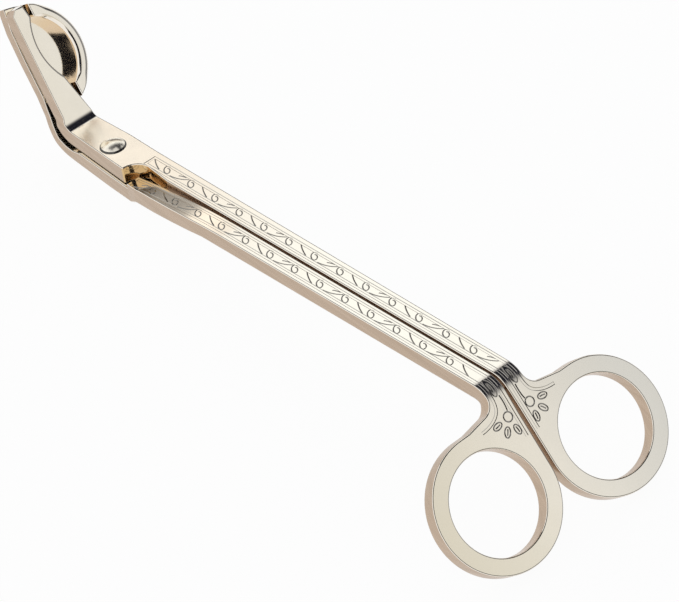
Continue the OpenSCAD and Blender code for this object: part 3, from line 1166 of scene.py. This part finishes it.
def cards():
    """The cards and the dark flags that the plating mirrors, named after what mirrors each."""
    full, dark, black = (1, 1, 1), (0.01, 0.011, 0.018), (0.015, 0.016, 0.024)
    cream, warm, bright = (1.17, 1.21, 1.2), (1.04, 0.97, 0.88), (1.3, 1.22, 1.1)
    around = [(108, dark), (122, black), (127, (0.12, 0.12, 0.13)), (132, (0.8, 0.8, 0.8))]
    around += [(137, cream), (144, cream), (148.5, warm), (150, bright), (153.5, bright)]
    around += [(156, (0.42, 0.4, 0.37)), (159, (0.32, 0.3, 0.28)), (164, (0.12, 0.09, 0.06))]
    around += [(168, (0.04, 0.025, 0.015)), (180, (0.1, 0.07, 0.04)), (200, (0.5, 0.45, 0.4))]
    arch_card("shank_card", around, [(-0.15, full), (1.5, full)], cream)
    pale = (0.85, 0.85, 0.85)
    across = [(-0.15, pale), (0.38, pale), (0.44, dark), (0.82, dark), (0.88, pale), (1.5, pale)]
    arch_card("fold_flag", [(84, full), (108, full)], across, cream)
    around = [(-20, pale), (20, (0.95, 0.95, 0.92)), (36, (0.96, 0.96, 0.93))]
    around += [(44, (0.8, 0.8, 0.78)), (51, (0.45, 0.45, 0.45)), (58, (0.16, 0.16, 0.17))]
    around += [(66, (0.03, 0.03, 0.042)), (84, dark)]
    across = [(-0.15, (0.8, 0.76, 0.68)), (0.5, (0.8, 0.79, 0.72)), (0.56, (0.87, 0.86, 0.81))]
    across += [(0.605, full), (0.645, (0.85, 0.87, 0.9)), (0.685, (0.75, 0.78, 0.82))]
    across += [(0.8, (0.8, 0.84, 0.88)), (1.5, pale)]
    arch_card("loop_card", around, across, (1.0, 0.99, 0.94))
    arch_card("tray_flag", [(20, dark), (68, dark)], [(-0.75, full), (-0.17, full)])


def lamp(name, azimuth, elevation, far, width, power):
    """A soft round lamp that isn't mirrored."""
    a, e = math.radians(azimuth), math.radians(elevation)
    way = Vector((math.cos(a) * math.cos(e), math.sin(a) * math.cos(e), math.sin(e)))
    data = bpy.data.lights.new(name, "AREA")
    data.shape, data.size, data.energy = "DISK", width, power
    o = placed(name, data)
    o.location = way * far
    o.rotation_mode = "QUATERNION"
    o.rotation_quaternion = way.to_track_quat("Z", "Y")
    o.visible_glossy = False


class TRIMMER_OT_stage(bpy.types.Operator):
    """The pale floor, the white surround, the cards, the studio lamps and the camera"""

    bl_idname = "trimmer.stage"
    bl_label = "Stage"

    def execute(self, context):
        scene = context.scene
        scene.view_settings.view_transform = "Standard"
        surround(scene)
        pale_floor()
        cards()
        lamp("shank_softbox", azimuth=147.5, elevation=31.6, far=0.9, width=0.7, power=1.5)
        lamp("front_softbox", azimuth=-60, elevation=55, far=1.0, width=0.6, power=1.0)

        data = bpy.data.cameras.new("camera")
        data.lens, data.sensor_width = 201.47, 36.0
        data.clip_start, data.clip_end = 0.05, 20
        camera = placed("camera", data)
        camera.location = (0.46748, -0.37044, 0.57959)
        camera.rotation_euler = [math.radians(a) for a in (45.784, 2.8, 47.675)]
        scene.camera = camera
        return {"FINISHED"}


PIECES = (TRIMMER_OT_blade_lever, TRIMMER_OT_tray_lever, TRIMMER_OT_rivet, TRIMMER_OT_stage)
GROUPS = {
    "trimmer_bar": BarSizes,
    "trimmer_loops": LoopSizes,
    "trimmer_tray": TraySizes,
    "trimmer_engraving": EngravingSizes,
    "trimmer_looks": TrimmerLooks,
}


class VIEW3D_PT_trimmer(bpy.types.Panel):
    """The trimmer's sizes and looks, and a button for each piece"""

    bl_label = "Wick trimmer"
    bl_space_type = "VIEW_3D"
    bl_region_type = "UI"
    bl_category = "Trimmer"

    def draw(self, context):
        for name in GROUPS:
            group = getattr(context.scene, name)
            box = self.layout.box()
            for prop in group.bl_rna.properties:
                if prop.identifier not in {"rna_type", "name"}:
                    box.prop(group, prop.identifier)
        for piece in PIECES:
            self.layout.operator(piece.bl_idname)


def register():
    for made in (*GROUPS.values(), *PIECES, VIEW3D_PT_trimmer):
        bpy.utils.register_class(made)
    for name, group in GROUPS.items():
        setattr(bpy.types.Scene, name, PointerProperty(type=group))


def unregister():
    for name in GROUPS:
        delattr(bpy.types.Scene, name)
    for made in (VIEW3D_PT_trimmer, *reversed(PIECES), *reversed(GROUPS.values())):
        bpy.utils.unregister_class(made)


def main():
    register()
    for piece in ("blade_lever", "tray_lever", "rivet", "stage"):
        getattr(bpy.ops.trimmer, piece)()


if __name__ == "__main__":
    main()
